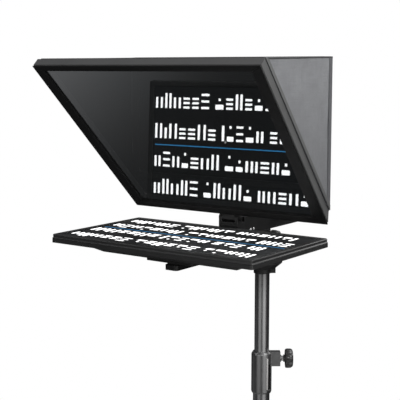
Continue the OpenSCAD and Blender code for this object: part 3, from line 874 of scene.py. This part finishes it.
def wave(x, y, scale, seed):
    """A smooth uneven swell, about -1 to 1."""
    return (sin(x * scale + seed * 1.7) * cos(y * scale * 0.8 + seed)
            + 0.6 * sin((x + y) * scale * 1.9 + seed * 3.1)
            + 0.4 * cos((x - 1.4 * y) * scale * 2.7 + seed * 0.7)) / 2


def collapses(o):
    """The hood's cloth moves with the glass frame, on a mesh of its own."""
    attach(o, "glass_frame")
    on_slope(0, 200, 22.9)
    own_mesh(o)


def stitches(name, start, end, normal):
    """A straight row of thread stitches, standing a little proud of the cloth."""
    length, gap, width = 0.0026, 0.0018, 0.00055
    bm = bmesh.new()
    d = (end - start).normalized()
    side = d.cross(normal).normalized()
    for k in range(int((end - start).length / (length + gap))):
        a = start + d * (k * (length + gap) + gap / 2)
        rings = []
        for f, w, h in ((0, 0.35, 0.0), (0.2, 1, 0.8), (0.8, 1, 0.8), (1, 0.35, 0.0)):
            c = a + d * length * f
            arch = [(width * w * cos(g), width * (h * 0.6 + 0.5 * w * sin(g)))
                    for g in (0, pi / 3, 2 * pi / 3, pi)]
            rings.append([bm.verts.new(c + side * x + normal * y) for x, y in arch])
        for u, v in zip(rings, rings[1:]):
            for i in range(3):
                bm.faces.new((u[i], u[i + 1], v[i + 1], v[i]))
    return from_bm(name, bm, M["binding_grey"], smooth=80)


def tube_along(name, points, r, material):
    """A round cord along points, its rings carried on without a twist."""
    sides = 10
    bm = bmesh.new()
    rings = []
    for i, p in enumerate(points):
        d = (points[min(i + 1, len(points) - 1)] - points[max(i - 1, 0)]).normalized()
        u = d.orthogonal().normalized() if i == 0 else (u - d * u.dot(d)).normalized()
        v = d.cross(u)
        angles = [2 * pi * k / sides for k in range(sides)]
        rings.append([bm.verts.new(p + u * r * cos(a) + v * r * sin(a)) for a in angles])
    loft(bm, rings)
    return from_bm(name, bm, material, smooth=60)


def binding(name, profile, stations, spot, step):
    """Tape folded over a rear edge. spot places a point of the profile at a station, step is between two."""
    bm = bmesh.new()
    uv = bm.loops.layers.uv.new("UVMap")
    rings = [[bm.verts.new(spot(k, y, w)) for y, w in profile] for k in range(stations)]
    n = len(profile)
    for k, (a, b) in enumerate(zip(rings, rings[1:])):
        for m in range(n):
            face = bm.faces.new((a[m], a[(m + 1) % n], b[(m + 1) % n], b[m]))
            for loop, (i, j) in zip(face.loops, ((m, k), (m + 1, k), (m + 1, k + 1), (m, k + 1))):
                loop[uv].uv = (i * 0.004, j * step)
    cap(bm, rings)
    return from_bm(name, bm, M["binding_grey"], smooth=50)


def hood_side(sign, tag):
    """A stretched side panel, with its binding, seam and piping."""
    rows, cols = 60, 50

    def spot(i, j):
        f = i / (rows - 1)
        back = j / (cols - 1)
        z = HOOD_FOOT + (HOOD_Z - 0.3 - HOOD_FOOT) * f
        front = rail_y(z)
        y = front + (HOOD_PLANE - front) * back
        z += (HOOD_REAR - HOOD_Z) * f * f * back
        held = min(1, (y - front) / 22) * min(1, (HOOD_PLANE - y) / 22 + 0.05)
        held *= max(0, min(1, (lid_z(y) - z) / 20 + 0.05))
        puff = held * wave(y, z, 0.019, 2.0 + sign) - 0.5 * held
        return on_side(sign, -0.15 + puff, y, z), on_side(sign, -1.35 + puff, y, z), y, z

    def tape(k, y, w):
        z = HOOD_FOOT + 12 + (HOOD_REAR - 0.3 - HOOD_FOOT - 12) * k / 45
        wobble = 0.25 * sin(k * 0.9 + sign) + 0.2 * sin(k * 2.3)
        return on_side(sign, w, y + (wobble if y < -10 else 0), z)

    o = cloth("hood_side_" + tag, grid(rows, cols, spot), *HOOD_MATERIALS)
    collapses(o)
    if sign == 1:
        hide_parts("hood_sides")
    profile = [(-19, -0.1), (-19, 0.55), (-5, 0.75), (-3.3, 0.45), (-2.9, -0.5), (-3.3, -1.6),
               (-5, -1.95), (-19, -1.75), (-19, -1.4)]
    out = (on_side(sign, 1, 0, 0) - on_side(sign, 0, 0, 0)).normalized()
    seam = [on_side(sign, 0.62, -16.4, z) for z in (HOOD_FOOT + 16, 372)]
    ridge = [-290 + 285.5 * k / 24 for k in range(25)]
    extra = [binding("hood_binding_" + tag, profile, 46, tape, 0.0067),
             stitches("hood_seam_" + tag, *seam, out),
             tube_along("hood_piping_" + tag, [on_side(sign, 0.2, y, lid_z(y) - 0.9) for y in ridge],
                        0.0013, M["piping"])]
    for e in extra:
        collapses(e)


def hood_top():
    """The top panel, a trapezoid that dips a little, with its binding and seam."""
    rows, cols = 34, 60
    wide, narrow = 277, 254.4

    def spot(i, j):
        y = -293 + (289 * i) / (rows - 1)
        half = wide - (wide - narrow) * i / (rows - 1)
        x = -half + 2 * half * j / (cols - 1)
        held = sin(pi * i / (rows - 1)) * sin(pi * j / (cols - 1))
        dip = -2.2 * held + 0.8 * held * wave(x, y, 0.015, 4.0)
        return at(x, y, lid_z(y) - 0.1 + dip), at(x, y, lid_z(y) - 1.3 + dip), x, y

    def tape(k, y, w):
        return at(-255.5 + 511 * k / 59, y, lid_z(y) - 0.1 + w)

    o = cloth("hood_top_cloth", grid(rows, cols, spot), *HOOD_MATERIALS)
    collapses(o)
    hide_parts("hood_top")
    profile = [(-19, 0.0), (-19, 0.6), (-5, 0.8), (-3.2, 0.4), (-2.8, -0.6), (-3.2, -1.7),
               (-5, -2.0), (-19, -1.9), (-19, -1.2)]
    seam = [at(x, -16.4, lid_z(-16.4) + 0.5) for x in (-250, 250)]
    extra = [binding("hood_binding_top", profile, 60, tape, 0.0087),
             stitches("hood_seam_top", *seam, Vector((0, 0, 1)))]
    for e in extra:
        collapses(e)


LENS_Z = 190.0  # height of the lens hole's middle
ELASTIC_R = 25


def curtain():
    """Black cloth in the rear frame. Elastic gathers it round a lens hole, drawn shut."""
    half, low, high = 239.0, 112.4, 357.0
    turns, rings, hole, far = 192, 34, 3, 1e9

    def spot(k, m):
        f = (k / (rings - 1)) ** 1.35
        a = 2 * pi * (m % turns) / turns
        c, s = cos(a), sin(a)
        reach = min(half / abs(c) if abs(c) > 1e-6 else far,
                    (high - LENS_Z) / s if s > 1e-6 else far,
                    (low - LENS_Z) / s if s < -1e-6 else far)
        r = hole + (reach - hole) * f
        pleat = exp(-((r - 26) / 30) ** 2) if r > 26 else (r / 26) ** 0.7
        d = 3.2 * pleat * sin(16 * a + 0.4 * sin(3 * a)) + 4.5 * exp(-(r / 45) ** 2)
        held = min(1, (reach - r) / 30)
        d += 1.6 * held * wave(r * c, r * s, 0.021, 6.0) * min(1, r / 90)
        x, z = r * c, LENS_Z + r * s
        return at(x, -13.4 + d, z), at(x, -14.6 + d, z), x, z

    o = cloth("rear_curtain_cloth", grid(rings, turns + 1, spot), *BLACK_CLOTH)
    bm = bmesh.new()
    bm.from_mesh(o.data)
    bmesh.ops.remove_doubles(bm, verts=bm.verts[:], dist=1e-6)
    bmesh.ops.holes_fill(bm, edges=[e for e in bm.edges if e.is_boundary], sides=0)
    fill(o.data, bm)
    shade(o, 60)
    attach(o, "rear_frame")
    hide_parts("rear_curtain")
    points = []
    for k in range(161):
        a = 2 * pi * k / 160
        r = ELASTIC_R + 1.2 * sin(9 * a)
        points.append(at(r * cos(a), -11.2 + 2.2 * sin(16 * a), LENS_Z + r * sin(a)))
    cord = tube_along("lens_elastic", points, 0.0011, M["fabric_black"])
    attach(cord, "rear_frame")


def flap():
    """Black cloth between the bottom rail and the curtain."""
    hem, rail_edge, upper = 58.8, 62.8, 117.8

    def spot(i, j):
        z = hem + i if i < 5 else rail_edge + (upper - rail_edge) * (i - 4) / 10
        lift = 2.3 * max(0, (rail_edge - z) / 4) ** 1.5  # its hem laps over the rail's rear edge
        x = -250.6 + 501.2 * j / 79
        d = 0.9 * (i / 14) * sin(x * 0.045) + 0.4 * sin(x * 0.11 + i * 0.3) * (i / 14)
        return at(x, -4.9 + lift + d * 0.3, z), at(x, -5.7 + lift + d * 0.3, z), x, z

    o = cloth("rear_flap_cloth", grid(15, 80, spot), *BLACK_CLOTH)
    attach(o, "glass_frame")
    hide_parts("rear_flap")


def light_seals():
    """Foam strips that close the joint between the rails and the hood's sides."""
    low_half, high_half, slope_length = 254.6, 281, 449.5
    profile = ((1.2, 22.45), (0.9, 22.8), (0.9, 24.9), (1.3, 25.3), (4.6, 25.3), (5.0, 24.9),
               (5.0, 22.8), (4.7, 22.45))
    for sign, tag in SIDES:
        bm = bmesh.new()
        rings = []
        for k in range(41):
            s = 17.5 + (432 - 17.5) * k / 40
            half = low_half + (high_half - low_half) * s / slope_length
            rings.append([bm.verts.new(on_slope(sign * (half - w), s, t)) for w, t in profile])
        loft(bm, rings)
        o = from_bm("light_seal_" + tag, bm, M["rubber_black"], smooth=50)
        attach(o, "glass_frame")


for sign, tag in SIDES:
    hood_side(sign, tag)
hood_top()
curtain()
flap()
light_seals()


# ---------------------------------------------------------------- knobs
def knob(node, start, axis, reach, r, depth, hub_r, hub, deep=0.15):
    """A moulded lobed knob: hub, scalloped grip with rounded rims, dished face and an insert in it.
    start is on the axis where the hub starts, reach how far the grip's face is from there, mm."""
    lobes = 6
    grip = reach - depth
    profile = [(hub_r * 0.55, 0, 0), (hub_r * 0.95, 0, 0), (hub_r, 0.4, 0), (hub_r, hub * 0.6, 0),
               (hub_r * 1.04, grip - 1.2, 0), (hub_r * 1.25, grip - 0.2, 0), (r * 0.80, grip, 0.6),
               (r * 0.93, grip + 0.4, 1), (r * 0.985, grip + 1.6, 1), (r, grip + 3.6, 1),
               (r, grip + depth * 0.55, 1), (r * 0.985, grip + depth * 0.70, 1),
               (r * 0.94, grip + depth * 0.83, 1), (r * 0.86, grip + depth * 0.92, 0.9),
               (r * 0.72, grip + depth * 0.975, 0.5), (r * 0.55, reach, 0.15), (r * 0.42, reach, 0),
               (r * 0.40, reach - 0.7, 0), (r * 0.12, reach - 0.7, 0)]

    def scallop(q, a, share):
        dent = (0.5 - 0.5 * cos(lobes * a)) ** 1.6
        return q * (1 - deep * share * dent)

    bm = bmesh.new()
    spun(bm, start, across(axis), profile, lobes * 16, scallop)
    o = from_bm(node + "_grip", bm, M["knob_black"], smooth=38)
    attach(o, nodes[node]["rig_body"])
    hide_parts(node)
    disc = [(r * 0.20, reach - 0.9), (r * 0.20, reach - 0.4), (r * 0.18, reach - 0.1),
            (r * 0.10, reach - 0.1), (r * 0.09, reach - 0.6)]
    insert = turned(node + "_insert", start, axis, disc, M["zinc_steel"], seg=32, smooth=38)
    joins(insert, node)


def shaft(node, centre, axis, stud):
    """The steel stud a knob is moulded on, with turned thread grooves."""
    r, pitch = 3.8, 0.0006
    a, b = stud[0] / 1000, stud[1] / 1000
    count = int((b - a) / pitch)
    profile = [(r if k % 2 else r * 0.90, (a + (b - a) * k / count) * 1000) for k in range(count + 1)]
    o = turned(node + "_shaft", centre, axis, profile, M["zinc_steel"], seg=24, smooth=60)
    joins(o, node)


def clamp_knob(node, centre, axis, hub0, grip0, grip_len, r, hub_r, stud=None):
    """A knob and its stud from where the hub and the grip start along the axis, mm."""
    ax = Vector(axis)
    knob(node, centre + ax * hub0 / 1000, ax, grip0 + grip_len - hub0, r, grip_len, hub_r, 4)
    if stud:
        shaft(node, centre, ax, stud)


LUG = radians(35.6)
lug_dir = Vector((cos(LUG), sin(LUG), 0))
lug_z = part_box("collar_stud")[0].z / 2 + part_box("collar_stud")[1].z / 2
lug_centre = Vector((0, AXIS_Y, lug_z))
knob("collar_knob", lug_centre + lug_dir * 0.0522, lug_dir, 22.8, 24.3, 18.6, 8.8, 5, deep=0.13)
clamp_knob("leg_knob", Vector((0, AXIS_Y, 0.240)), (0, 1, 0), 42.4, 46, 16, 20, 8, (20.5, 43))
clamp_knob("pan_knob", at(0, 148, -113), (-1, 0, 0), 46, 50, 14, 12.5, 8, (18.2, 47))
clamp_knob("tilt_knob", at(0, 148, -82), (1, 0, 0), 19.9, 23.8, 22, 10.4, 9)
clamp_knob("riser_knob", at(0, 128, -34), (1, 0, 0), 34, 38, 19, 15, 8, (16.2, 35))
clamp_knob("carriage_knob", at(0, 195, 11), (1, 0, 0), 32.4, 36.4, 15, 13, 8, (26, 33))


# ---------------------------------------------------------------- screws and collar
def camera_screw():
    """Captive screw under the camera: knurled head, shoulder, plain shank and a short thread."""
    seg, y0, knurl = 144, 195, 0.45
    profile = [(9.5, 44.0, 0), (11.6, 44.0, 0), (12.5, 44.6, 0.5), (13.0, 45.3, 1), (13.0, 50.7, 1),
               (12.5, 51.5, 0.5), (11.6, 52.0, 0), (8.6, 52.0, 0), (8.0, 52.5, 0), (8.0, 59.2, 0),
               (7.5, 59.8, 0), (2.9, 59.8, 0), (2.6, 60.2, 0), (2.6, 70.0, 0), (3.0, 70.2, 0)]
    h = 70.35
    while h < 74.2:
        profile += [(3.175, h, 0), (3.175, h + 0.12, 0), (2.75, h + 0.42, 0), (2.75, h + 0.5, 0)]
        h += 0.8
    profile += [(2.9, 74.5, 0), (2.4, 75.0, 0)]
    bm = bmesh.new()
    rings = []
    for r, z, share in profile:
        ring = []
        for i in range(seg):
            a = 2 * pi * i / seg
            q = r - knurl * share * (i % 4 in (0, 1))
            ring.append(bm.verts.new(at(q * cos(a), y0 + q * sin(a), z)))
        rings.append(ring)
    loft(bm, rings)
    stands_for(from_bm("camera_screw_turned", bm, M["zinc_steel"], smooth=34), "camera_screw")


def collar_stud():
    """Clamp stud with rolled thread, a plain washer and a hexagon nut."""
    r0 = 21.5
    profile = [(4.2, r0), (4.9, r0 + 0.7), (4.9, 44.0)]
    h = 44.2
    while h < 64.8:
        profile += [(5.0, h), (5.0, h + 0.15), (4.45, h + 0.5), (4.45, h + 0.6)]
        h += 1.0
    profile += [(4.6, 65.3), (4.0, 65.9)]
    steel = M["zinc_steel"]
    stands_for(turned("collar_stud_thread", lug_centre, lug_dir, profile, steel), "collar_stud")
    washer = [(5.1, 44.75), (8.3, 44.75), (8.6, 45.0), (8.6, 46.5), (8.3, 46.8), (5.1, 46.8)]
    washer = turned("collar_stud_washer", lug_centre, lug_dir, washer, steel)
    flat = 5.46  # half the nut's width across its flats

    def hexagon(q, a):
        return min(q, flat / cos(a % (pi / 3) - pi / 6)) if q > 5.7 else q

    up = Vector((0, 0, 1))
    nut = ((5.2, 46.9), (5.75, 46.9), (6.3, 47.3), (6.3, 51.3), (5.75, 51.7), (5.2, 51.7))
    bm = bmesh.new()
    spun(bm, lug_centre, (lug_dir, lug_dir.cross(up), up), nut, 48, hexagon)
    nut = from_bm("collar_stud_nut", bm, steel, smooth=30)
    for o in (washer, nut):
        joins(o, "collar_stud")


def collar_painted_light():
    """In the collar's clamp opening: a black piece that paints the shade there, and a white rib that paints
    the highlight along the slit's edge.
    """
    top, steps, chamfer = lug_z + 0.018, 12, 0.0005
    # painted shade: black over the tube where the opening lies in shade; painted highlight: a white rib for
    # the slit's bright edge
    painted_pieces = (("collar_bush_painted_shade", 20.45, 21.9, (-61.5, -27.5), (-0.0925, -0.0285), "rubber_black"),
               ("collar_bush_painted_highlight", 23.6, 25.0, (-63.4, -53.8), (-0.0905, -0.0135), "nylon_white"))
    for name, inside, outside, (a0, a1), (z0, z1), material in painted_pieces:
        angles = [LUG + radians(a0 + (a1 - a0) * i / steps) for i in range(steps + 1)]
        bm = bmesh.new()
        rings = []
        for z, inset in ((z0, 0.4), (z0 + chamfer, 0), (z1 - chamfer, 0), (z1, 0.4)):
            arc = [(outside - inset - (0.5 if i in (0, steps) else 0), a) for i, a in enumerate(angles)]
            arc += [(inside, a) for a in reversed(angles)]
            rings.append([bm.verts.new(Vector((r / 1000 * cos(a), AXIS_Y + r / 1000 * sin(a), top + z)))
                          for r, a in arc])
        loft(bm, rings)
        joins(from_bm(name, bm, M[material]), "collar_bush")


camera_screw()
collar_stud()
collar_painted_light()
